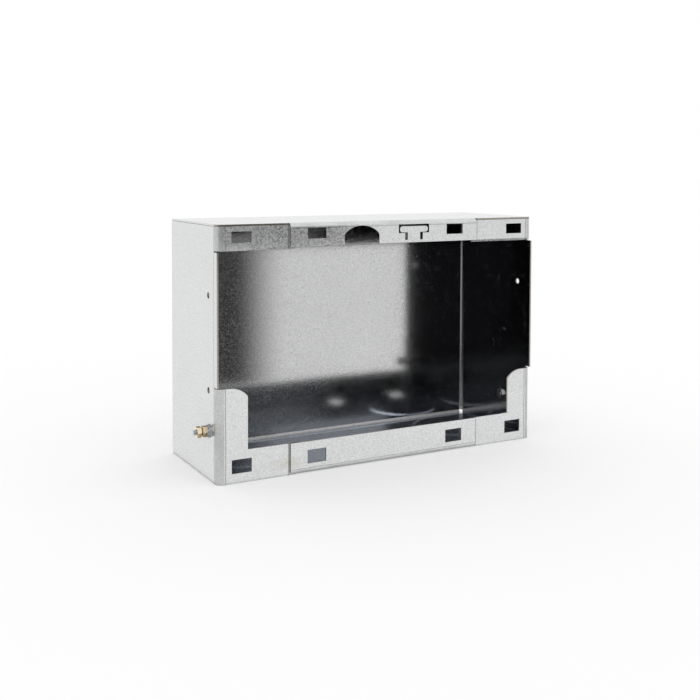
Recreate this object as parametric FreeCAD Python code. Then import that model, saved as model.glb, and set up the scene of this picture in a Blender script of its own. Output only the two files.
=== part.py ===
import FreeCAD, Part
import math
import os

# A flush back box: one galvanised sheet folded into an open box, with inward flanges
# round its front and an earth terminal through each side wall.
# +Z is up and the open front faces -Y. The origin is the centre of the bottom wall's
# outer face. All sizes are millimetres.

# The folded sheet
box_width = 260.0
box_height = 173.0
box_depth = 94.0
sheet = 1.2
bend_inner = 2.0
side_bend_inner = 3.8
fold_gap = 0.15

# Front flanges of the top and bottom walls, and the legs of the side walls behind their ends
centre_flange_width = 154.0
top_flange = 16.2
bottom_flange = 22.0
leg_overlap = 4.3
top_leg = 16.3
relief_width = 0.9
free_edge_slit = 0.8

# Upright tabs on the bottom legs, each with its inner top corner cut to an arc
tab_width = 22.0
left_tab_height = 64.0
right_tab_height = 55.0
tab_arc_radius = 16.5
tab_arc_run = 12.8

# Rectangular slots in the flanges
slot_width = 14.3
top_slot_height = 7.5
bottom_slot_height = 9.3
inner_slot_x = 57.0
outer_slot_x = 112.5
top_slot_drop = 7.3
bottom_slot_rise = 11.3

# Arched notch in the lower edge of the top flange
notch_x = -21.5
notch_width = 28.0
notch_drop = 3.0
notch_arch_radius = 20.0
notch_shoulder_radius = 4.0

# Tee-shaped tongue in the top flange, cut free round its head and its stem
tongue_x = 21.5
tongue_drop = 3.0
tongue_slot_width = 25.8
tongue_slot_height = 6.3
tongue_head_width = 23.8
tongue_head_height = 4.4
tongue_head_seat = 0.5
tongue_stem = 10.6
tongue_slit = 2.2
tongue_length = 11.3

# Fixing holes in the side walls, and the terminals in line with them
fixing_hole = 4.2
fixing_setback = 17.0
left_upper_fixing_z = 125.0
left_lower_fixing_z = 61.0
right_fixing_z = 121.5
terminal_z = 33.5

# Knockouts in the bottom wall, pressed up with a sloping rim
knockout_radius = 30.0
knockout_x = 91.0
knockout_setback = 56.0
knockout_lift = 0.8
knockout_slope = 3.0

# Terminal hardware, M4
screw_diameter = 4.0
screw_clearance = 0.1
thread_clearance = 0.04
left_screw_reach = 11.8
right_screw_reach = 16.8
head_diameter = 8.0
head_height = 2.6
head_round = 1.4
recess_width = 1.1
recess_length = 4.2
recess_depth = 1.5
nut_flats = 7.0
nut_height = 3.2
nut_chamfer = 0.35
left_nut_gap = 0.8
right_nut_standout = 13.4
lock_washer_diameter = 8.0
lock_washer_height = 0.9
lock_washer_teeth = 10
lock_washer_tooth = 0.9
plain_washer_diameter = 9.0
plain_washer_height = 0.9

# Worked out from the sizes above
bend_outer = bend_inner + sheet
side_bend_outer = side_bend_inner + sheet
half_width = box_width / 2
front_y = -box_depth / 2
back_y = box_depth / 2
back_tangent_y = back_y - bend_outer
leg_face_y = front_y + sheet
side_edge_y = leg_face_y + side_bend_outer
side_top_z = box_height - sheet - fold_gap
half_flange = centre_flange_width / 2
leg_end_x = half_flange - leg_overlap
fixing_y = front_y + fixing_setback
cut_margin = 1.0


def vec(x, y, z):
    return FreeCAD.Vector(x, y, z)


def block(x, y, z):
    """A box from a (low, high) pair on each axis."""
    size = vec(x[1] - x[0], y[1] - y[0], z[1] - z[0])
    return Part.makeBox(size.x, size.y, size.z, vec(x[0], y[0], z[0]))


def span(a, b):
    return (min(a, b), max(a, b))


def line(a, b):
    return Part.LineSegment(a, b).toShape()


def prism(edges, along):
    return Part.Face(Part.Wire(edges)).extrude(along)


def rounded_path(points, radius):
    """Edges of right-angled runs with each corner rounded."""
    edges = []
    start = points[0]
    for before, corner, after in zip(points, points[1:], points[2:]):
        into = (corner - before).normalize()
        out = (after - corner).normalize()
        arc_start = corner - into * radius
        arc_end = corner + out * radius
        centre = arc_start + out * radius
        arc_middle = centre + (into - out) * (radius / math.sqrt(2))
        edges.append(line(start, arc_start))
        edges.append(Part.Arc(arc_start, arc_middle, arc_end).toShape())
        start = arc_end
    edges.append(line(start, points[-1]))
    return edges


def folded_strip(outer, along, inner_radius=bend_inner):
    """A strip of the sheet bent at right angles, from its outer corner points."""
    runs = [(b - a).normalize() for a, b in zip(outer, outer[1:])]
    inward = runs[1:] + [runs[-2] * -1]
    inner = [outer[0] + inward[0] * sheet]
    for corner, first, second in zip(outer[1:], inward, inward[1:]):
        inner.append(corner + (first + second) * sheet)
    inner.append(outer[-1] + inward[-1] * sheet)
    edges = rounded_path(outer, inner_radius + sheet)
    edges.append(line(outer[-1], inner[-1]))
    edges.extend(rounded_path(inner[::-1], inner_radius))
    edges.append(line(inner[0], outer[0]))
    return prism(edges, along)


def back_and_walls():
    """The back with its four bends, and the four flat walls. The square corner
    reliefs are left where two bends would meet."""
    stub_y = back_tangent_y - sheet
    bend_low = bend_outer
    bend_high = box_height - bend_outer
    bend_x = half_width - bend_outer
    side_bends = folded_strip(
        [
            vec(-half_width, stub_y, bend_low),
            vec(-half_width, back_y, bend_low),
            vec(half_width, back_y, bend_low),
            vec(half_width, stub_y, bend_low),
        ],
        vec(0, 0, bend_high - bend_low),
    )
    level_bends = folded_strip(
        [
            vec(-bend_x, stub_y, 0),
            vec(-bend_x, back_y, 0),
            vec(-bend_x, back_y, box_height),
            vec(-bend_x, stub_y, box_height),
        ],
        vec(2 * bend_x, 0, 0),
    )
    bottom_x = half_width - sheet - fold_gap
    flange_tangent_y = front_y + bend_outer
    leg_back_y = leg_face_y + sheet + fold_gap
    walls = [side_bends, level_bends]
    top_sheet = (box_height - sheet, box_height)
    flat_y = (flange_tangent_y, back_tangent_y)
    top = block((-half_width, half_width), flat_y, top_sheet)
    bottom = block((-bottom_x, bottom_x), flat_y, (0, sheet))
    for side, tab_height in ((-1, left_tab_height), (1, right_tab_height)):
        side_sheet = span(side * half_width, side * (half_width - sheet))
        relief_x = side * (half_flange + relief_width)
        walls.append(block(side_sheet, (side_edge_y, back_tangent_y), (0, side_top_z)))
        free_low = tab_height + free_edge_slit
        free_high = side_top_z - top_leg - free_edge_slit
        walls.append(block(side_sheet, (leg_face_y, side_edge_y + sheet), (free_low, free_high)))
        top_corner_y = (leg_face_y, flange_tangent_y + sheet)
        top = top.fuse(block(span(relief_x, side * half_width), top_corner_y, top_sheet))
        bottom_corner_y = (leg_back_y, flange_tangent_y + sheet)
        bottom = bottom.fuse(block(span(relief_x, side * bottom_x), bottom_corner_y, (0, sheet)))
    walls.append(top.cut(side_bend_corners(box_height - sheet, side_bend_outer)))
    walls.append(bottom.cut(side_bend_corners(0, side_bend_inner - fold_gap)))
    return walls


def side_bend_corners(sheet_z, radius):
    """What is rounded off the front corners of the top or bottom wall, so that they follow the side bends."""
    low = sheet_z - cut_margin
    height = sheet + 2 * cut_margin
    corners = []
    for side in (-1, 1):
        bend_x = side * (half_width - side_bend_outer)
        corner = block(span(bend_x, side * half_width), (front_y, side_edge_y), (low, low + height))
        bend = Part.makeCylinder(radius, height, vec(bend_x, side_edge_y, low))
        corners.append(corner.cut(bend))
    return corners


def centre_flanges():
    """The inward flanges of the top and bottom walls."""
    stub_y = front_y + bend_outer + sheet
    along = vec(centre_flange_width, 0, 0)
    top = folded_strip(
        [
            vec(-half_flange, stub_y, box_height),
            vec(-half_flange, front_y, box_height),
            vec(-half_flange, front_y, box_height - top_flange),
        ],
        along,
    )
    bottom = folded_strip(
        [
            vec(-half_flange, stub_y, 0),
            vec(-half_flange, front_y, 0),
            vec(-half_flange, front_y, bottom_flange),
        ],
        along,
    )
    return [top, bottom]


def side_leg(side, end_x, low, high):
    """A flange folded inward from a side wall, from low to high."""
    return folded_strip(
        [
            vec(side * half_width, side_edge_y + sheet, low),
            vec(side * half_width, leg_face_y, low),
            vec(side * end_x, leg_face_y, low),
        ],
        vec(0, 0, high - low),
        side_bend_inner,
    )


def tab_corner(side, height):
    """What the arc takes off a tab's inner top corner."""
    inner_x = half_width - tab_width
    arc_angle = math.asin(tab_arc_run / tab_arc_radius)
    arc_x = inner_x + tab_arc_run
    centre_z = height - tab_arc_radius

    def on_arc(angle):
        x = arc_x - tab_arc_radius * math.sin(angle)
        return vec(side * x, front_y, centre_z + tab_arc_radius * math.cos(angle))

    foot = on_arc(arc_angle)
    crown = on_arc(0)
    far_x = side * (inner_x - cut_margin)
    over_z = height + cut_margin
    edges = [
        Part.Arc(foot, on_arc(arc_angle / 2), crown).toShape(),
        line(crown, vec(crown.x, front_y, over_z)),
        line(vec(crown.x, front_y, over_z), vec(far_x, front_y, over_z)),
        line(vec(far_x, front_y, over_z), vec(far_x, front_y, foot.z)),
        line(vec(far_x, front_y, foot.z), foot),
    ]
    return prism(edges, vec(0, 2 * sheet + cut_margin, 0))


def side_legs():
    """The legs and tabs of both side walls."""
    legs = []
    for side, tab_height in ((-1, left_tab_height), (1, right_tab_height)):
        legs.append(side_leg(side, leg_end_x, side_top_z - top_leg, side_top_z))
        legs.append(side_leg(side, leg_end_x, 0, bottom_flange))
        tab = side_leg(side, half_width - tab_width, 0, tab_height)
        legs.append(tab.cut(tab_corner(side, tab_height)))
    return legs


def flange_cut(x, z):
    """A rectangular cut through a flange or a leg."""
    return block(x, (front_y - cut_margin, leg_face_y + sheet + cut_margin), z)


def slots():
    cuts = []
    for side in (-1, 1):
        for slot_x, drop in ((inner_slot_x, 0), (outer_slot_x, sheet)):
            low_x = side * slot_x - slot_width / 2
            top_z = box_height - top_slot_drop - drop - top_slot_height / 2
            bottom_z = bottom_slot_rise - bottom_slot_height / 2
            across = (low_x, low_x + slot_width)
            cuts.append(flange_cut(across, (top_z, top_z + top_slot_height)))
            cuts.append(flange_cut(across, (bottom_z, bottom_z + bottom_slot_height)))
    return cuts


def notch():
    """The arched notch: a wide arch, tangent to two small shoulder arcs."""
    half = notch_width / 2
    y = front_y - cut_margin
    low_z = box_height - top_flange - cut_margin
    arch_z = box_height - notch_drop - notch_arch_radius
    shoulder_x = half - notch_shoulder_radius
    reach = notch_arch_radius - notch_shoulder_radius
    shoulder_z = arch_z + math.sqrt(reach ** 2 - shoulder_x ** 2)
    lean = math.asin(shoulder_x / reach)

    def shoulder(side, angle):
        x = shoulder_x + notch_shoulder_radius * math.sin(angle)
        return vec(notch_x + side * x, y, shoulder_z + notch_shoulder_radius * math.cos(angle))

    middle = (lean + math.pi / 2) / 2
    foot = [vec(notch_x + side * half, y, low_z) for side in (-1, 1)]
    spring = [shoulder(side, math.pi / 2) for side in (-1, 1)]
    meet = [shoulder(side, lean) for side in (-1, 1)]
    edges = [
        line(foot[0], spring[0]),
        Part.Arc(spring[0], shoulder(-1, middle), meet[0]).toShape(),
        Part.Arc(meet[0], vec(notch_x, y, arch_z + notch_arch_radius), meet[1]).toShape(),
        Part.Arc(meet[1], shoulder(1, middle), spring[1]).toShape(),
        line(spring[1], foot[1]),
        line(foot[1], foot[0]),
    ]
    return prism(edges, vec(0, sheet + 2 * cut_margin, 0))


def tongue():
    """The cut that frees the tee-shaped tongue: it stays joined at its stem's foot."""
    top_z = box_height - tongue_drop
    slot_z = top_z - tongue_slot_height
    foot_z = top_z - tongue_length
    half_slot = tongue_slot_width / 2
    half_stem = tongue_stem / 2
    cut = flange_cut((tongue_x - half_slot, tongue_x + half_slot), (slot_z, top_z))
    for side in (-1, 1):
        slit = span(tongue_x + side * half_stem, tongue_x + side * (half_stem + tongue_slit))
        cut = cut.fuse(flange_cut(slit, (foot_z, slot_z + cut_margin)))
    head_low = slot_z + tongue_head_seat
    head_round_end = tongue_head_height / 2
    half_head = tongue_head_width / 2 - head_round_end
    depth = cut.BoundBox.YLength
    head_z = (head_low, head_low + tongue_head_height)
    kept = flange_cut((tongue_x - half_head, tongue_x + half_head), head_z)
    for side in (-1, 1):
        centre = vec(tongue_x + side * half_head, cut.BoundBox.YMin, head_low + head_round_end)
        kept = kept.fuse(Part.makeCylinder(head_round_end, depth, centre, vec(0, 1, 0)))
    stem = flange_cut((tongue_x - half_stem, tongue_x + half_stem), (foot_z, head_low + head_round_end))
    return cut.cut(kept.fuse(stem))


def side_hole(side, z, diameter):
    start = vec(side * (half_width - sheet - cut_margin), fixing_y, z)
    return Part.makeCylinder(diameter / 2, sheet + 2 * cut_margin, start, vec(side, 0, 0))


def knockout_discs(low):
    """The two knockouts' raised discs, on a face at the height low."""
    y = front_y + knockout_setback
    crown_radius = knockout_radius - knockout_slope
    discs = []
    for side in (-1, 1):
        foot = vec(side * knockout_x, y, low)
        discs.append(Part.makeCone(knockout_radius, crown_radius, knockout_lift, foot))
    return discs


def make_back_box():
    walls = back_and_walls() + centre_flanges() + side_legs()
    box = walls[0].fuse(walls[1:])
    cuts = slots() + [notch(), tongue()]
    cuts.append(side_hole(-1, left_upper_fixing_z, fixing_hole))
    cuts.append(side_hole(-1, left_lower_fixing_z, fixing_hole))
    cuts.append(side_hole(1, right_fixing_z, fixing_hole))
    for side in (-1, 1):
        cuts.append(side_hole(side, terminal_z, screw_diameter + 2 * screw_clearance))
    cuts += knockout_discs(0)
    box = box.cut(cuts)
    box = box.fuse(knockout_discs(sheet))
    return box.removeSplitter()


def on_terminal(shape, seat_x, direction):
    """Turn a shape made along +Z to point along X, with its foot at seat_x on the terminal's line."""
    placed = shape.copy()
    placed.rotate(vec(0, 0, 0), vec(0, 1, 0), 90 * direction)
    placed.translate(vec(seat_x, fixing_y, terminal_z))
    return placed


def screw(reach):
    """A pan-head screw: the head's seat at z = 0, the head below, the shank above."""
    head_radius = head_diameter / 2
    head = Part.makeCylinder(head_radius, head_height, vec(0, 0, -head_height))
    circles = [edge for edge in head.Edges if edge.Closed]
    crown = min(circles, key=lambda edge: edge.CenterOfMass.z)
    head = head.makeFillet(head_round, [crown])
    for angle in (0, 90):
        bar = block(
            (-recess_length / 2, recess_length / 2),
            (-recess_width / 2, recess_width / 2),
            (-head_height - cut_margin, -head_height + recess_depth),
        )
        bar.rotate(vec(0, 0, 0), vec(0, 0, 1), angle)
        head = head.cut(bar)
    shank = Part.makeCylinder(screw_diameter / 2, reach + sheet)
    circles = [edge for edge in shank.Edges if edge.Closed]
    tip = max(circles, key=lambda edge: edge.CenterOfMass.z)
    shank = shank.makeChamfer(nut_chamfer, [tip])
    return head.fuse(shank).removeSplitter()


def nut():
    """A hexagon nut with two opposite corners across Y once it is turned into place."""
    corner_radius = nut_flats / math.sqrt(3)
    corners = []
    for step in range(7):
        angle = math.radians(60 * step + 90)
        corners.append(vec(corner_radius * math.cos(angle), corner_radius * math.sin(angle), 0))
    hexagon = Part.Face(Part.makePolygon(corners)).extrude(vec(0, 0, nut_height))
    turned = Part.makeCylinder(corner_radius, nut_height)
    rims = [edge for edge in turned.Edges if edge.Closed]
    turned = turned.makeChamfer(nut_chamfer, rims)
    bore = Part.makeCylinder(screw_diameter / 2 + thread_clearance, nut_height)
    return hexagon.common(turned).cut(bore)


def plain_washer():
    disc = Part.makeCylinder(plain_washer_diameter / 2, plain_washer_height)
    return disc.cut(Part.makeCylinder(screw_diameter / 2 + screw_clearance, plain_washer_height))


def lock_washer():
    """A washer with square teeth round its rim."""
    disc = Part.makeCylinder(lock_washer_diameter / 2, lock_washer_height)
    disc = disc.cut(Part.makeCylinder(screw_diameter / 2 + screw_clearance, lock_washer_height))
    pitch = 360 / lock_washer_teeth
    gap_width = math.pi * lock_washer_diameter / lock_washer_teeth / 2
    for tooth in range(lock_washer_teeth):
        gap = block(
            (lock_washer_diameter / 2 - lock_washer_tooth, lock_washer_diameter),
            (-gap_width / 2, gap_width / 2),
            (0, lock_washer_height),
        )
        gap.rotate(vec(0, 0, 0), vec(0, 0, 1), pitch * (tooth + 0.5))
        disc = disc.cut(gap)
    return disc


def make_terminals():
    """Both terminals point towards -X. The left one stands outside its wall,
    and the right one stands inside."""
    left_face = -half_width
    right_face = half_width - sheet
    towards_left = -1

    def stack(shape, face, out):
        return on_terminal(shape, face - out, towards_left)

    left_first_nut = plain_washer_height + lock_washer_height
    left_second_nut = left_first_nut + nut_height + left_nut_gap
    right_first_nut = lock_washer_height
    right_washer = right_first_nut + nut_height
    return {
        "left_earth_screw": stack(screw(left_screw_reach), left_face + sheet, 0),
        "right_earth_screw": stack(screw(right_screw_reach), right_face + sheet, 0),
        "plain_washers": Part.makeCompound(
            [stack(plain_washer(), left_face, 0), stack(plain_washer(), right_face, right_washer)]
        ),
        "lock_washers": Part.makeCompound(
            [stack(lock_washer(), left_face, plain_washer_height), stack(lock_washer(), right_face, 0)]
        ),
        "brass_nuts": Part.makeCompound(
            [stack(nut(), left_face, left_first_nut), stack(nut(), left_face, left_second_nut)]
        ),
        "steel_nuts": Part.makeCompound(
            [stack(nut(), right_face, right_first_nut), stack(nut(), right_face, right_nut_standout)]
        ),
    }


os.makedirs("parts", exist_ok=True)
nodes = {"back_box": make_back_box()}
nodes.update(make_terminals())
for name, shape in nodes.items():
    shape.exportStep(os.path.join("parts", name + ".step"))
    print(name, len(shape.Solids), "solids", round(shape.Volume, 1), "mm3", "valid", shape.isValid())
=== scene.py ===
import math

import bmesh
import bpy
from mathutils import Matrix, Vector
from mathutils.bvhtree import BVHTree


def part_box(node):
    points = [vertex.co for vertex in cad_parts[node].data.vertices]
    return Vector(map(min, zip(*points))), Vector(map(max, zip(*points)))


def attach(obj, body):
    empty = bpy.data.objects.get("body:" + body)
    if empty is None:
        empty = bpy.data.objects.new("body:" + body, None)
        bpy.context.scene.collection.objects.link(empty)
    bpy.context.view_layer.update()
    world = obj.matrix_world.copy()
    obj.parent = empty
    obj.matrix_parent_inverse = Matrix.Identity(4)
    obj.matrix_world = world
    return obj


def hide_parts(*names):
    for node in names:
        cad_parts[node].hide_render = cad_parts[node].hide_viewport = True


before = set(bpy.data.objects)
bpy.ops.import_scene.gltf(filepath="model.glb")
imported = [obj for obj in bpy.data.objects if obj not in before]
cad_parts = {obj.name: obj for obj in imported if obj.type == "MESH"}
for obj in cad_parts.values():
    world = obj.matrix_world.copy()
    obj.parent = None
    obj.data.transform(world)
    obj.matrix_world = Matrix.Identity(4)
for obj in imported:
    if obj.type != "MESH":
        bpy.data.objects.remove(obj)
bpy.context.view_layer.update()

# Folded sheet: one blank of hot-dip galvanised steel, punched and sheared flat, then folded on a
# press brake. The dies dull its outer side and its bends, its inner side keeps the mill's bright
# fine spangle, and its sheared edges are bare steel. Its colour also holds painted light: shade on
# the outer side bends and in the seams, a highlight low on the inner bends and shade higher up
# them, and a bluish tint on the inner bottom that stands in for its reflections.
millimetre = 0.001
sheet_thickness = 1.2 * millimetre
bend_radius = 3.2 * millimetre
side_bend_radius = 5.0 * millimetre
flange_half_width = 77.0 * millimetre
sheared_edge_ease = 0.09 * millimetre
weld_distance = 0.002 * millimetre
flat_angle = math.radians(0.2)
step_angle = math.radians(10)
crease_angle = math.radians(38)
box_low, box_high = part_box("back_box")
front_y = box_low.y
back_y = box_high.y
leg_face_y = front_y + sheet_thickness
half_width = box_high.x
box_top = box_high.z
box_middle = (box_low + box_high) / 2


def shown(name, mesh):
    """A new object in the scene, at the origin."""
    piece = bpy.data.objects.new(name, mesh)
    bpy.context.scene.collection.objects.link(piece)
    return piece


def evaluated_mesh(piece):
    """The piece's mesh with its modifiers in it."""
    graph = bpy.context.evaluated_depsgraph_get()
    return bpy.data.meshes.new_from_object(piece.evaluated_get(graph))


def merged_work(node):
    """A node's mesh with its loose triangles joined and its flats made whole."""
    work = bmesh.new()
    work.from_mesh(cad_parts[node].data)
    bmesh.ops.remove_doubles(work, verts=work.verts, dist=weld_distance)
    bmesh.ops.dissolve_limit(work, angle_limit=flat_angle, verts=work.verts, edges=work.edges)
    return work


def eased_piece(work, name, ease):
    """A piece from a work mesh, its sharp edges rounded by ease and its flats shaded flat."""
    for edge in work.edges:
        edge.smooth = not step_angle < edge.calc_face_angle(0) < crease_angle
    mesh = bpy.data.meshes.new(name)
    work.to_mesh(mesh)
    work.free()
    mesh.polygons.foreach_set("use_smooth", [True] * len(mesh.polygons))
    piece = shown(name, mesh)
    rounding = piece.modifiers.new("rounding", "BEVEL")
    rounding.width = ease
    rounding.segments = 2
    rounding.limit_method = "ANGLE"
    rounding.angle_limit = crease_angle
    rounding.use_clamp_overlap = False
    flats = piece.modifiers.new("flats", "WEIGHTED_NORMAL")
    flats.weight = 100
    flats.keep_sharp = True
    finished = evaluated_mesh(piece)
    piece.modifiers.clear()
    piece.data = finished
    return piece


def largest_triangles(mesh):
    """Each face's largest triangle, by the face's number."""
    mesh.calc_loop_triangles()
    largest = {}
    for triangle in mesh.loop_triangles:
        kept = largest.get(triangle.polygon_index)
        if kept is None or triangle.area > kept.area:
            largest[triangle.polygon_index] = triangle
    return largest


def triangle_middle(mesh, triangle):
    """The middle of a triangle's three corners."""
    return sum((mesh.vertices[corner].co for corner in triangle.vertices), Vector()) / 3


def wall_thickness(mesh):
    """The depth of solid behind each face, at its largest triangle."""
    work = bmesh.new()
    work.from_mesh(mesh)
    tree = BVHTree.FromBMesh(work)
    work.free()
    depths = {}
    for face, triangle in largest_triangles(mesh).items():
        start = triangle_middle(mesh, triangle) - triangle.normal * weld_distance
        depths[face] = tree.ray_cast(start, -triangle.normal)[3] or 0
    return depths


def faces_cavity(mesh, triangle):
    """Whether a face looks into the inside of the box."""
    middle = triangle_middle(mesh, triangle)
    probe = middle + triangle.normal * (sheet_thickness / 3)
    across = abs(probe.x) < half_width - sheet_thickness
    along = front_y + 0.9 * sheet_thickness < probe.y < back_y - sheet_thickness
    up = sheet_thickness < probe.z < box_top - sheet_thickness
    inward = triangle.normal.dot(box_middle - middle) > 0
    return across and along and up and inward


class Signal:
    """One output of a node. A sum or product of signals adds Math nodes to the same tree."""

    def __init__(self, graph, socket):
        self.graph = graph
        self.socket = socket

    def math(self, operation, *values):
        """A Math node with this signal as its first value."""
        sockets = dict(enumerate((self,) + values))
        return self.graph.node("ShaderNodeMath", {"operation": operation}, sockets)[0]

    def turned(self, operation, value):
        """A Math node with this signal as its second value."""
        sockets = {0: value, 1: self}
        return self.graph.node("ShaderNodeMath", {"operation": operation}, sockets)[0]

    def __add__(self, other):
        return self.math("ADD", other)

    def __radd__(self, other):
        return self.math("ADD", other)

    def __sub__(self, other):
        return self.math("SUBTRACT", other)

    def __rsub__(self, other):
        return self.turned("SUBTRACT", other)

    def __mul__(self, other):
        return self.math("MULTIPLY", other)

    def __rmul__(self, other):
        return self.math("MULTIPLY", other)

    def __truediv__(self, other):
        return self.math("DIVIDE", other)

    def __abs__(self):
        return self.math("ABSOLUTE")

    def below(self, value):
        return self.math("LESS_THAN", value)

    def above(self, value):
        return self.math("GREATER_THAN", value)

    def smaller(self, value):
        return self.math("MINIMUM", value)

    def larger(self, value):
        return self.math("MAXIMUM", value)

    def swing(self, amount):
        """A noise from 0 to 1 as a change that is as much up as down."""
        return (self - 0.5) * amount


class Graph:
    """A node tree that is being written."""

    def __init__(self, tree):
        self.tree = tree

    def node(self, kind, settings=None, sockets=None):
        """Add a node. Its settings are set first, then its sockets get their values or links.
        Its outputs come back by number and by name."""
        made = self.tree.nodes.new(kind)
        for name, value in (settings or {}).items():
            setattr(made, name, value)
        for key, value in (sockets or {}).items():
            if isinstance(value, Signal):
                self.tree.links.new(value.socket, made.inputs[key])
            else:
                made.inputs[key].default_value = value
        outputs = {}
        for number, socket in enumerate(made.outputs):
            signal = Signal(self, socket)
            outputs[number] = signal
            outputs.setdefault(socket.name, signal)
        return outputs

    def ramp(self, signal, low, high, to_low=0.0, to_high=1.0):
        """A signal taken smoothly from one range to another, and held at its ends."""
        settings = {"interpolation_type": "SMOOTHSTEP", "clamp": True}
        sockets = {"Value": signal, "From Min": low, "From Max": high}
        sockets.update({"To Min": to_low, "To Max": to_high})
        return self.node("ShaderNodeMapRange", settings, sockets)["Result"]

    def line_mask(self, offset, width):
        """1 on a thin line where offset is nought, soft at both sides."""
        return 1 - self.ramp(abs(offset), width / 2, width)

    def mixed(self, share, first, second):
        """A colour between two colours."""
        return self.node("ShaderNodeMix", {"data_type": "RGBA"}, {0: share, 6: first, 7: second})[2]

    def scaled(self, colour, amount):
        """A colour made lighter or darker."""
        sockets = {0: colour, "Scale": amount}
        return self.node("ShaderNodeVectorMath", {"operation": "SCALE"}, sockets)[0]

    def place(self):
        """Coordinates on the object itself."""
        return self.node("ShaderNodeTexCoord")["Object"]

    def axes(self, place):
        """The X, Y and Z of a place."""
        parts = self.node("ShaderNodeSeparateXYZ", {}, {"Vector": place})
        return parts["X"], parts["Y"], parts["Z"]

    def attribute(self, name):
        """A mesh attribute's value."""
        return self.node("ShaderNodeAttribute", {"attribute_name": name})["Fac"]

    def noise(self, place, scale, detail=2.0, roughness=0.5):
        """A soft noise from 0 to 1."""
        sockets = {"Vector": place, "Scale": scale, "Detail": detail, "Roughness": roughness}
        return self.node("ShaderNodeTexNoise", {}, sockets)["Fac"]

    def stretched(self, place, scale):
        """Coordinates stretched by a scale on each axis."""
        return self.node("ShaderNodeMapping", {}, {"Vector": place, "Scale": scale})["Vector"]

    def bumped(self, height, distance, normal=None):
        """A normal bent by a height, which a height of 1 raises by distance."""
        sockets = {"Height": height, "Distance": distance, "Strength": 1.0}
        if normal is not None:
            sockets["Normal"] = normal
        return self.node("ShaderNodeBump", {}, sockets)["Normal"]

    def geometry(self, kind, geometry, sockets):
        """A geometry passed through a node."""
        return self.node(kind, {}, {"Geometry": geometry, **sockets})["Geometry"]

    def card(self, colour):
        """The shader of plain card."""
        return self.node("ShaderNodeBsdfDiffuse", {}, {"Color": colour})["BSDF"]

    def glow(self, level):
        """The shader of a white light."""
        return self.node("ShaderNodeEmission", {}, {"Strength": level})["Emission"]

    def clear(self):
        """The shader of nothing at all."""
        return self.node("ShaderNodeBsdfTransparent")["BSDF"]

    def mixed_shader(self, share, first, second):
        """A shader between two shaders."""
        return self.node("ShaderNodeMixShader", {}, {0: share, 1: first, 2: second})["Shader"]

    def surface(self, shader):
        """Ends a material in a shader."""
        self.node("ShaderNodeOutputMaterial", {}, {"Surface": shader})

    def metal_surface(self, colour, roughness, normal, metallic=1.0):
        """Ends a material in one metal shader."""
        sockets = {"Base Color": colour, "Roughness": roughness, "Metallic": metallic, "Normal": normal}
        self.surface(self.node("ShaderNodeBsdfPrincipled", {}, sockets)["BSDF"])


def new_material(name):
    """An empty material and the graph of its nodes."""
    material = bpy.data.materials.new(name)
    material.use_nodes = True
    material.node_tree.nodes.clear()
    return material, Graph(material.node_tree)


front_skin_y = leg_face_y + 0.3 * millimetre
flange_skin_y = front_y + 0.1 * millimetre
leg_skin = 0.2 * millimetre
side_skin_x = half_width - 0.02 * millimetre
die_mark_width = 0.4 * millimetre
flange_mark_width = 0.35 * millimetre
flange_mark_share = 0.7
seam_width = 0.5 * millimetre
leg_mark_x = half_width - side_bend_radius - 1.0 * millimetre
wall_mark_y = leg_face_y + side_bend_radius + 0.8 * millimetre
low_mark_z = bend_radius + 0.3 * millimetre
high_mark_z = box_top - low_mark_z
seam_x = flange_half_width + 1.0 * millimetre


def die_marks_and_seam_shade(graph, x, y, z, wobble):
    """Dark lines that the dies leave beside the bends, and painted shade in the seams beside the flange
    ends.
    """
    on_front = y.below(front_skin_y)
    on_flange = y.below(flange_skin_y)
    on_leg = abs(y - leg_face_y).below(leg_skin)
    on_side = abs(x).above(side_skin_x)
    leg_mark = graph.line_mask(abs(x) - leg_mark_x + wobble, die_mark_width) * on_front
    wall_mark = graph.line_mask(y - wall_mark_y + wobble, die_mark_width) * on_side
    low_mark = graph.line_mask(z - low_mark_z + wobble, flange_mark_width)
    high_mark = graph.line_mask(high_mark_z - z + wobble, flange_mark_width)
    flange_mark = flange_mark_share * low_mark.larger(high_mark) * on_flange
    # Painted shade: a dark line on each leg beside a flange end, where the step between the sheets
    # shades it.
    seam_shade = graph.line_mask(abs(x) - seam_x, seam_width) * on_leg
    return leg_mark.larger(wall_mark).larger(flange_mark).larger(seam_shade)


smear_z = 8.5 * millimetre
smear_half_height = 1.5 * millimetre
smear_fade = 5 * millimetre
smear_start_x = -104 * millimetre
smear_full_x = -80 * millimetre
smear_end_x = -70 * millimetre


def handling_smear(graph, x, y, z, clouds):
    """A faint brown smear on the lower left leg, at the end of the flange."""
    on_front = y.below(front_skin_y)
    up = 1 - graph.ramp(abs(z - smear_z), smear_half_height, smear_fade)
    along = graph.ramp(x, smear_start_x, smear_full_x) * x.below(smear_end_x)
    return up * along * on_front * graph.ramp(clouds, 0.3, 0.6)


outer_zinc = (0.685, 0.69, 0.692, 1)
inner_zinc = (0.557, 0.558, 0.56, 1)
# The inner bottom is painted bluish, a tint that stands in for its dim reflections.
painted_bluish_bottom_zinc = (0.48, 0.545, 0.64, 1)
# Inner bends: a painted highlight low down, turning to painted shade up the upright bends.
painted_highlight_bend_zinc = (0.85, 0.85, 0.85, 1)
painted_shade_bend_zinc = (0.26, 0.26, 0.27, 1)
smear_brown = (0.56, 0.545, 0.49, 1)
knockout_crown_z = 2.1 * millimetre
bottom_top_z = 2.4 * millimetre
back_bend_y = back_y - 4 * millimetre
low_bend_z = 6 * millimetre
side_bend_x = half_width - 6 * millimetre


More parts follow.
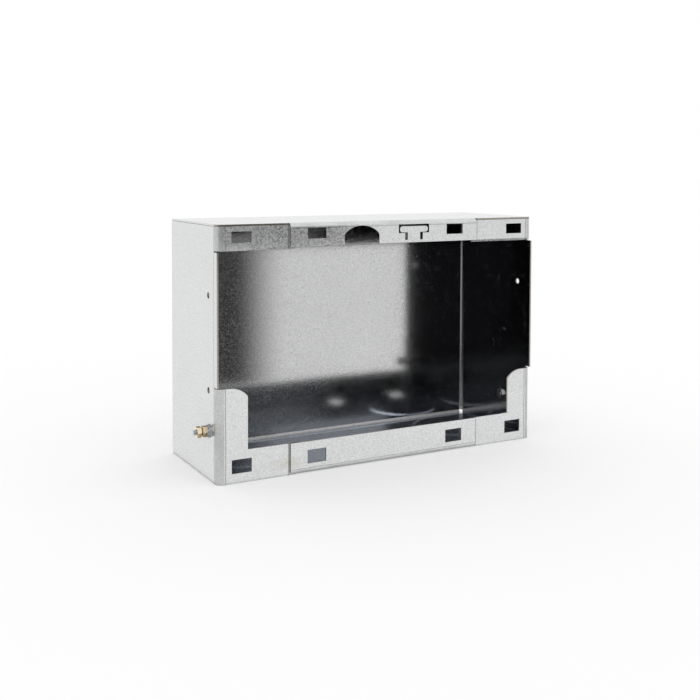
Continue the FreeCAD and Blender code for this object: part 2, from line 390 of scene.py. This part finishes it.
def galvanised_material():
    """Zinc with a fine spangle, faint rolling lines, die lines beside the bends and light scuffs,
    with painted light in its colour: a highlight low on the inner bends and shade higher up them,
    shade on the outer side bends and in the seams, and a bluish tint on the inner bottom.
    """
    material, graph = new_material("galvanised_sheet")
    place = graph.place()
    x, y, z = graph.axes(place)
    fold = graph.attribute("fold")
    inside = graph.attribute("inside")
    outside = 1 - inside
    inner_bend = inside * fold * z.above(knockout_crown_z).larger(y.above(back_bend_y))
    inner_bottom = inside * z.below(bottom_top_z) * (1 - inner_bend)
    knockout_rim = inner_bottom * fold

    crystals = graph.node("ShaderNodeTexVoronoi", {}, {"Vector": place, "Scale": 820.0})
    crystal_tone = graph.node("ShaderNodeSeparateColor", {}, {"Color": crystals["Color"]})["Red"]
    grain = graph.noise(place, 900.0, 3.0, 0.6)
    sparkle = graph.noise(place, 800.0, 2.0, 0.6)
    clouds = graph.noise(place, 26.0, 3.0)
    wander = graph.noise(place, 60.0, 2.0)
    rolling = graph.noise(graph.stretched(place, (60.0, 60.0, 1900.0)), 1.0, 2.0)
    scratches = graph.noise(graph.stretched(place, (40.0, 40.0, 900.0)), 1.0, 4.0)
    scuffs = graph.ramp(scratches, 0.66, 0.78)
    specks = graph.ramp(graph.noise(place, 420.0, 1.0), 0.74, 0.8)
    glints = graph.ramp(graph.noise(place, 360.0, 2.0, 0.6), 0.6, 0.72)
    # Die lines beside the bends, and painted shade in the seams beside the flange ends; both darken the
    # zinc.
    marks_and_seam_shade = die_marks_and_seam_shade(graph, x, y, z, wander.swing(0.9 * millimetre))
    smear = handling_smear(graph, x, y, z, clouds)

    # Outer bends are darker in colour: a little for the dies' dulling, and more on the side bends as
    # painted shade.
    bend_dulling_and_shade = fold * outside * (0.08 + 0.18 * abs(x).above(side_bend_x) + wander.swing(0.4))
    tone = 1 + crystal_tone.swing(0.07) + grain.swing(0.66) + clouds.swing(0.08) + rolling.swing(0.06)
    tone = tone * (1 - bend_dulling_and_shade) * (1 - 0.55 * marks_and_seam_shade) * (1 - 0.3 * specks)
    # Painted light on the inner bends: bright low down, dark higher up.
    bend_shade_share = graph.ramp(z, 5 * millimetre, 50 * millimetre)
    painted_bend_light = graph.mixed(bend_shade_share, painted_highlight_bend_zinc, painted_shade_bend_zinc)
    zinc = graph.mixed(inside, outer_zinc, inner_zinc)
    # The inner bottom takes its painted bluish tint of reflection.
    zinc = graph.mixed(inner_bottom, zinc, painted_bluish_bottom_zinc)
    zinc = graph.mixed(inner_bend, zinc, painted_bend_light)
    zinc = graph.mixed(0.55 * smear, zinc, smear_brown)
    roughness = 0.11 + 0.09 * outside + grain.swing(0.06) + 0.15 * fold + 0.08 * marks_and_seam_shade + 0.1 * scuffs

    to_the_left = graph.ramp(x, -40 * millimetre, 30 * millimetre, 0.2, 0.0)
    inner_dull = inside * (to_the_left * graph.ramp(sparkle, 0.42, 0.68) + 0.14 * glints)
    upright_dull = graph.ramp(z, 60 * millimetre, 150 * millimetre, 0.38, 0.08)
    bend_dull = inner_bend * (upright_dull + 0.4 * z.below(low_bend_z))
    bottom_dull = inner_bottom * (0.2 + sparkle.swing(0.4)) + 0.1 * knockout_rim
    outer_dull = outside * (0.4 + sparkle.swing(0.95))
    metallic = 1 - outer_dull - inner_dull - bend_dull - bottom_dull
    waves = graph.bumped(graph.noise(place, 14.0, 1.0), 0.05 * millimetre)
    relief = (crystal_tone * 0.3 + grain) * (0.6 + 0.4 * outside)
    spangle = graph.bumped(relief, 0.035 * millimetre, waves)
    graph.metal_surface(graph.scaled(zinc, tone), roughness, spangle, metallic)
    return material


bare_dark = (0.2, 0.18, 0.15, 1)
bare_light = (0.5, 0.46, 0.4, 1)


def bare_edge_material():
    """Sheared steel: a burnished band and a torn band, greyer and browner than the zinc."""
    material, graph = new_material("sheared_edge")
    place = graph.place()
    torn = graph.noise(place, 1300.0, 3.0)
    colour = graph.mixed(torn, bare_dark, bare_light)
    roughness = 0.32 + 0.2 * torn
    graph.metal_surface(colour, roughness, graph.bumped(torn, 0.02 * millimetre))
    return material


back_box = eased_piece(merged_work("back_box"), "folded_back_box", sheared_edge_ease)
sheet = back_box.data
sheet.materials.clear()
sheet.materials.append(galvanised_material())
sheet.materials.append(bare_edge_material())
thickest_fold = 2.2 * sheet_thickness
flush_side = half_width - 0.05 * millimetre
for face, depth in wall_thickness(sheet).items():
    covered = abs(sheet.polygons[face].center.x) > flush_side
    bare = depth > thickest_fold and not covered
    sheet.polygons[face].material_index = 1 if bare else 0
squarest_bend = math.cos(math.radians(3))
folds = []
for face in sheet.polygons:
    squareness = max(abs(part) for part in face.normal)
    folds.append(0.0 if squareness > squarest_bend else 1.0)
insides = [0.0] * len(sheet.polygons)
for face, triangle in largest_triangles(sheet).items():
    insides[face] = 1.0 if faces_cavity(sheet, triangle) else 0.0
for name, values in (("fold", folds), ("inside", insides)):
    sheet.attributes.new(name, "FLOAT", "FACE").data.foreach_set("value", values)
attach(back_box, "root")
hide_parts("back_box")

# Terminals: an M4 pan-head screw through each side wall, held by a toothed lock washer, a plain
# washer and two hexagon nuts. The left nuts are turned brass. The rest is zinc-plated steel,
# bright on the left; the right screw and nuts, which sit in the box's shade, take a darker copy of
# the plate, which is painted shade.
hardware_ease = 0.1 * millimetre
thread_pitch = 0.7 * millimetre
thread_diameter = 4.0 * millimetre
thread_depth = 0.43 * millimetre
thread_overlap = 0.5 * millimetre
thread_chamfer = 0.6 * millimetre
thread_crest_share = 0.12
thread_flank_share = 0.7
thread_rows = 200
thread_sides = 28
brass_dark = (0.86, 0.69, 0.44, 1)
brass_light = (0.95, 0.82, 0.58, 1)


def plated_material(name, dark, light, metallic, roughness):
    """Zinc plate over turned steel, with fine turning lines."""
    material, graph = new_material(name)
    place = graph.place()
    clouds = graph.noise(place, 700.0, 3.0)
    lines = graph.noise(graph.stretched(place, (6000.0, 300.0, 300.0)), 1.0, 2.0)
    colour = graph.mixed(clouds, dark, light)
    turned = graph.bumped(lines, 0.01 * millimetre)
    graph.metal_surface(colour, roughness + 0.14 * clouds, turned, metallic)
    return material


def brass_material():
    """Turned brass, bright on its flats and a little brown where it has dulled."""
    material, graph = new_material("turned_brass")
    place = graph.place()
    clouds = graph.noise(place, 500.0, 3.0)
    lines = graph.noise(graph.stretched(place, (5000.0, 300.0, 300.0)), 1.0, 2.0)
    colour = graph.mixed(clouds, brass_dark, brass_light)
    graph.metal_surface(colour, 0.2 + 0.14 * clouds, graph.bumped(lines, 0.012 * millimetre))
    return material


def thread_tree():
    """A node group that rolls a grid into a closed screw thread, along Z from the origin."""
    tree = bpy.data.node_groups.new("screw_thread", "GeometryNodeTree")
    for name in ("Length", "Pitch", "Diameter", "Depth", "Chamfer"):
        tree.interface.new_socket(name, in_out="INPUT", socket_type="NodeSocketFloat")
    for name in ("Along", "Around"):
        tree.interface.new_socket(name, in_out="INPUT", socket_type="NodeSocketInt")
    tree.interface.new_socket("Finish", in_out="INPUT", socket_type="NodeSocketMaterial")
    tree.interface.new_socket("Thread", in_out="OUTPUT", socket_type="NodeSocketGeometry")
    graph = Graph(tree)
    given = graph.node("NodeGroupInput")
    rows = given["Along"]
    sizes = {"Size X": 1.0, "Size Y": math.tau, "Vertices X": rows, "Vertices Y": given["Around"] + 1}
    grid = graph.node("GeometryNodeMeshGrid", {}, sizes)["Mesh"]
    place = graph.node("GeometryNodeInputPosition")["Position"]
    share, turn = graph.axes(place)[:2]
    row = (share + 0.5) * (rows - 1)
    height = ((row - 1) / (rows - 3)).larger(0.0).smaller(1.0) * given["Length"]
    flank = abs((height / given["Pitch"] - turn / math.tau).math("FRACT") * 2 - 1)
    cut = ((flank - thread_crest_share) / thread_flank_share).larger(0.0).smaller(1.0)
    groove = cut * given["Depth"]
    pointed = (given["Chamfer"] - given["Length"] + height).larger(0.0)
    open_rows = row.above(0.5) * row.below(rows - 1.5)
    radius = (given["Diameter"] / 2 - groove.larger(pointed)) * open_rows
    corners = {"X": radius * turn.math("COSINE"), "Y": radius * turn.math("SINE"), "Z": height}
    rolled = graph.node("ShaderNodeCombineXYZ", {}, corners)["Vector"]
    shaped = graph.geometry("GeometryNodeSetPosition", grid, {"Position": rolled})
    closed = graph.geometry("GeometryNodeMergeByDistance", shaped, {"Distance": weld_distance})
    realized = graph.geometry("GeometryNodeRealizeInstances", closed, {})
    finished = graph.geometry("GeometryNodeSetMaterial", realized, {"Material": given["Finish"]})
    graph.node("NodeGroupOutput", {}, {"Thread": finished})
    return tree


def thread_mesh(tree, values):
    """The thread's mesh, with the tree's inputs set by name."""
    piece = shown("thread", bpy.data.meshes.new("thread"))
    modifier = piece.modifiers.new("thread", "NODES")
    modifier.node_group = tree
    for socket in tree.interface.items_tree:
        if socket.in_out == "INPUT":
            modifier[socket.identifier] = values[socket.name]
    mesh = evaluated_mesh(piece)
    bpy.data.objects.remove(piece)
    return mesh


def threaded_screw(node, seat_x, tree, finish):
    """A screw whose head is the CAD's, cut off at its seat, and whose shank is a thread towards -X."""
    work = merged_work(node)
    bmesh.ops.bisect_plane(
        work,
        geom=work.verts[:] + work.edges[:] + work.faces[:],
        dist=weld_distance,
        plane_co=(seat_x, 0, 0),
        plane_no=(-1, 0, 0),
        clear_outer=True,
    )
    bmesh.ops.holes_fill(work, edges=[edge for edge in work.edges if edge.is_boundary])
    piece = eased_piece(work, "threaded_" + node, hardware_ease)
    low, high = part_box(node)
    values = {
        "Length": seat_x + thread_overlap - low.x,
        "Pitch": thread_pitch,
        "Diameter": thread_diameter,
        "Depth": thread_depth,
        "Chamfer": thread_chamfer,
        "Along": thread_rows,
        "Around": thread_sides,
        "Finish": finish,
    }
    thread = thread_mesh(tree, values)
    start = Vector((seat_x + thread_overlap, (low.y + high.y) / 2, (low.z + high.z) / 2))
    thread.transform(Matrix.Translation(start) @ Matrix.Rotation(-math.pi / 2, 4, "Y"))
    joined = bmesh.new()
    joined.from_mesh(piece.data)
    joined.from_mesh(thread)
    joined.to_mesh(piece.data)
    joined.free()
    return piece


def finished_hardware(piece, node, material):
    """Gives a piece its one material and its place on the body."""
    piece.data.materials.clear()
    piece.data.materials.append(material)
    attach(piece, "root")
    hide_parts(node)


zinc_plate = plated_material(
    "zinc_plate",
    dark=(0.62, 0.63, 0.64, 1),
    light=(0.78, 0.78, 0.78, 1),
    metallic=0.68,
    roughness=0.26,
)
# A darker copy of the zinc plate for the right screw and nuts: painted shade.
painted_shade_plate = plated_material(
    "painted_shade_plate",
    dark=(0.3, 0.3, 0.29, 1),
    light=(0.46, 0.46, 0.45, 1),
    metallic=0.88,
    roughness=0.2,
)
brass = brass_material()
thread = thread_tree()
for node, seat_x, material in (
    ("left_earth_screw", sheet_thickness - half_width, zinc_plate),
    ("right_earth_screw", half_width, painted_shade_plate),
):
    piece = threaded_screw(node, seat_x, thread, material)
    finished_hardware(piece, node, material)
for node, material, slot in (
    ("plain_washers", zinc_plate, "zinc_plated"),
    ("lock_washers", zinc_plate, "zinc_plated"),
    ("brass_nuts", brass, "brass"),
    ("steel_nuts", painted_shade_plate, "zinc_plated"),
):
    piece = eased_piece(merged_work(node), "eased_" + node, hardware_ease)
    finished_hardware(piece, node, material)

# Stage: a white floor under an even white dome. Dark flags and small light cards, which only
# reflections see, stand before and in the box, and what is seen by way of two reflections is dark,
# so that the open inside reads as deep as it does in a dark studio.
floor_size = 40.0
floor_drop = 0.1 * millimetre
floor_margin = 2 * millimetre
floor_glow = 0.45
white = (1, 1, 1, 1)
flag_black = (0.01, 0.01, 0.012, 1)


def second_reflection(graph, one_reflection=1):
    """1 on a ray that has left at least two reflecting surfaces."""
    path = graph.node("ShaderNodeLightPath")
    return path["Is Glossy Ray"] * path["Ray Depth"].above(one_reflection + 0.5)


def floor_material():
    """White card, which second reflections see as black."""
    material, graph = new_material("white_floor")
    path = graph.node("ShaderNodeLightPath")
    x, y = graph.axes(graph.place())[:2]
    ahead = y.below(front_y - floor_margin)
    beside = x.below(-half_width - floor_margin)
    share = path["Is Camera Ray"] * floor_glow + path["Is Glossy Ray"] * ahead.larger(beside)
    lit_card = graph.mixed_shader(share, graph.card(white), graph.glow(1.0))
    graph.surface(graph.mixed_shader(second_reflection(graph), lit_card, graph.card(flag_black)))
    material.cycles.emission_sampling = "NONE"
    return material


def flag_material(name, left, right, left_share, right_share):
    """A dark net, whose cover goes from one share to another along X."""
    material, graph = new_material(name)
    x = graph.axes(graph.place())[0]
    cover = graph.ramp(x, left, right, left_share, right_share)
    graph.surface(graph.mixed_shader(cover, graph.clear(), graph.card(flag_black)))
    return material


def black_material(name):
    """Plain black card."""
    material, graph = new_material(name)
    graph.surface(graph.card(flag_black))
    return material


def lamp_material(name, level, first):
    """A lamp's white face, which only first or only later reflections see."""
    material, graph = new_material(name)
    later = second_reflection(graph)
    lit = 1 - later if first else later
    graph.surface(graph.mixed_shader(lit, graph.clear(), graph.glow(level)))
    material.cycles.emission_sampling = "NONE"
    return material


patch_y = front_y + 16 * millimetre
patch_height = 2.4 * millimetre
patch_across = 9 * millimetre
patch_along = 16 * millimetre
patch_turn = math.radians(28)
patch_core = 0.35


def patch_material(name, patch_x, level):
    """Light that has come in through a slot, soft at its rim, seen from above in first reflections."""
    material, graph = new_material(name)
    x, y = graph.axes(graph.place())[:2]
    from_x = x - patch_x
    from_y = y - patch_y
    across = (from_x * math.cos(patch_turn) + from_y * math.sin(patch_turn)) / patch_across
    along = (from_x * math.sin(patch_turn) - from_y * math.cos(patch_turn)) / patch_along
    distance = (across * across + along * along).math("SQRT")
    from_above = 1 - graph.node("ShaderNodeNewGeometry")["Backfacing"]
    soft = graph.ramp(distance, patch_core, 1.0, 1.0, 0.0)
    lit = soft * (1 - second_reflection(graph)) * from_above
    graph.surface(graph.mixed_shader(lit, graph.clear(), graph.glow(level)))
    material.cycles.emission_sampling = "NONE"
    return material


def stage_card(name, corners, material):
    """A flat card on the stage."""
    mesh = bpy.data.meshes.new(name)
    mesh.from_pydata(corners, [], [tuple(range(len(corners)))])
    mesh.materials.append(material)
    card = shown(name, mesh)
    return card


def reflected_card(name, corners, material):
    """A card seen only in reflections."""
    card = stage_card(name, corners, material)
    card.visible_camera = False
    card.visible_diffuse = False
    card.visible_shadow = False


def upright_card(name, distance, across, up, material):
    """A card parallel to the box's front, at a distance before it, seen only in reflections."""
    y = front_y - distance
    left, right = across
    bottom, top = up
    corners = [(left, y, bottom), (right, y, bottom), (right, y, top), (left, y, top)]
    reflected_card(name, corners, material)


def level_corners(across, along, height):
    """The corners of a level card that faces up."""
    left, right = across
    near, far = along
    return [(left, near, height), (right, near, height), (right, far, height), (left, far, height)]


floor_reach = (-floor_size / 2, floor_size / 2)
stage_card("floor", level_corners(floor_reach, floor_reach, -floor_drop), floor_material())

leg_net = flag_material("leg_net", left=-0.02, right=0.025, left_share=1.0, right_share=0.15)
near_net = flag_material("near_net", left=-0.036, right=0.018, left_share=0.95, right_share=0.0)
lip_net = flag_material("lip_net", left=-0.035, right=0.06, left_share=0.72, right_share=1.0)
slot_net = black_material("slot_net")
upright_card("leg_flag", 0.05, across=(-0.25, 0.30), up=(0.149, 0.188), material=leg_net)
upright_card("near_flag", 0.02, across=(-0.06, 0.02), up=(0.019, 0.142), material=near_net)
upright_card("lip_flag", 0.0, across=(-0.106, 0.128), up=(0.1408, 0.1568), material=lip_net)
slot_reach = 7.1 * millimetre
for slot_x, behind in ((0.057, 0.5 * sheet_thickness), (0.1125, 1.5 * sheet_thickness)):
    slot_across = (slot_x - slot_reach, slot_x + slot_reach)
    upright_card("slot_flag", -behind, across=slot_across, up=(0.0060, 0.0185), material=slot_net)

lamp_distance = 0.6
tab_back = 2.5 * sheet_thickness
right_face = lamp_material("right_lamp_face", level=0.7, first=False)
crown_face = lamp_material("crown_lamp_face", level=2.4, first=False)
left_face = lamp_material("left_lamp_face", level=0.9, first=False)
tab_face = lamp_material("tab_lamp_face", level=1.0, first=True)
upright_card("right_lamp", lamp_distance, across=(0.2, 0.9), up=(0.2, 0.34), material=right_face)
upright_card("crown_lamp", lamp_distance, across=(0.2, 0.9), up=(0.37, 0.9), material=crown_face)
upright_card("left_lamp", lamp_distance, across=(-1.2, -0.15), up=(0.34, 1.2), material=left_face)
upright_card("tab_lamp", -tab_back, across=(0.104, 0.1270), up=(0.022, 0.060), material=tab_face)

patch_reach_y = (patch_y - patch_along + sheet_thickness, patch_y + patch_along)
for patch_x, patch_level in ((0.0475, 0.7), (0.1095, 0.65)):
    patch_reach_x = (patch_x - patch_along, patch_x + patch_along)
    patch_corners = level_corners(patch_reach_x, patch_reach_y, patch_height)
    reflected_card("slot_patch", patch_corners, patch_material("slot_patch_face", patch_x, patch_level))

world = bpy.data.worlds.new("white_dome")
world.use_nodes = True
world.node_tree.nodes.clear()
sky = Graph(world.node_tree)
white_dome = sky.node("ShaderNodeBackground", {}, {"Color": white, "Strength": 1.0})["Background"]
dark_dome = sky.node("ShaderNodeBackground", {}, {"Color": white, "Strength": 0.005})["Background"]
dome = sky.mixed_shader(second_reflection(sky, one_reflection=2), white_dome, dark_dome)
sky.node("ShaderNodeOutputWorld", {}, {"Surface": dome})
bpy.context.scene.world = world
bpy.context.scene.view_settings.view_transform = "Standard"

# Camera: at the photograph's viewing angle. It looks almost level, and its lens is shifted down to
# the box, so that upright edges stay upright.
camera_data = bpy.data.cameras.new("camera")
camera_data.sensor_width = 36.0
camera_data.lens = 52.0
camera_data.shift_y = -0.2
camera = shown("camera", camera_data)
camera.location = (-0.3693, -0.6665, 0.2098)
camera.rotation_euler = (math.radians(87.668), math.radians(-0.157), math.radians(-28.604))
bpy.context.scene.camera = camera
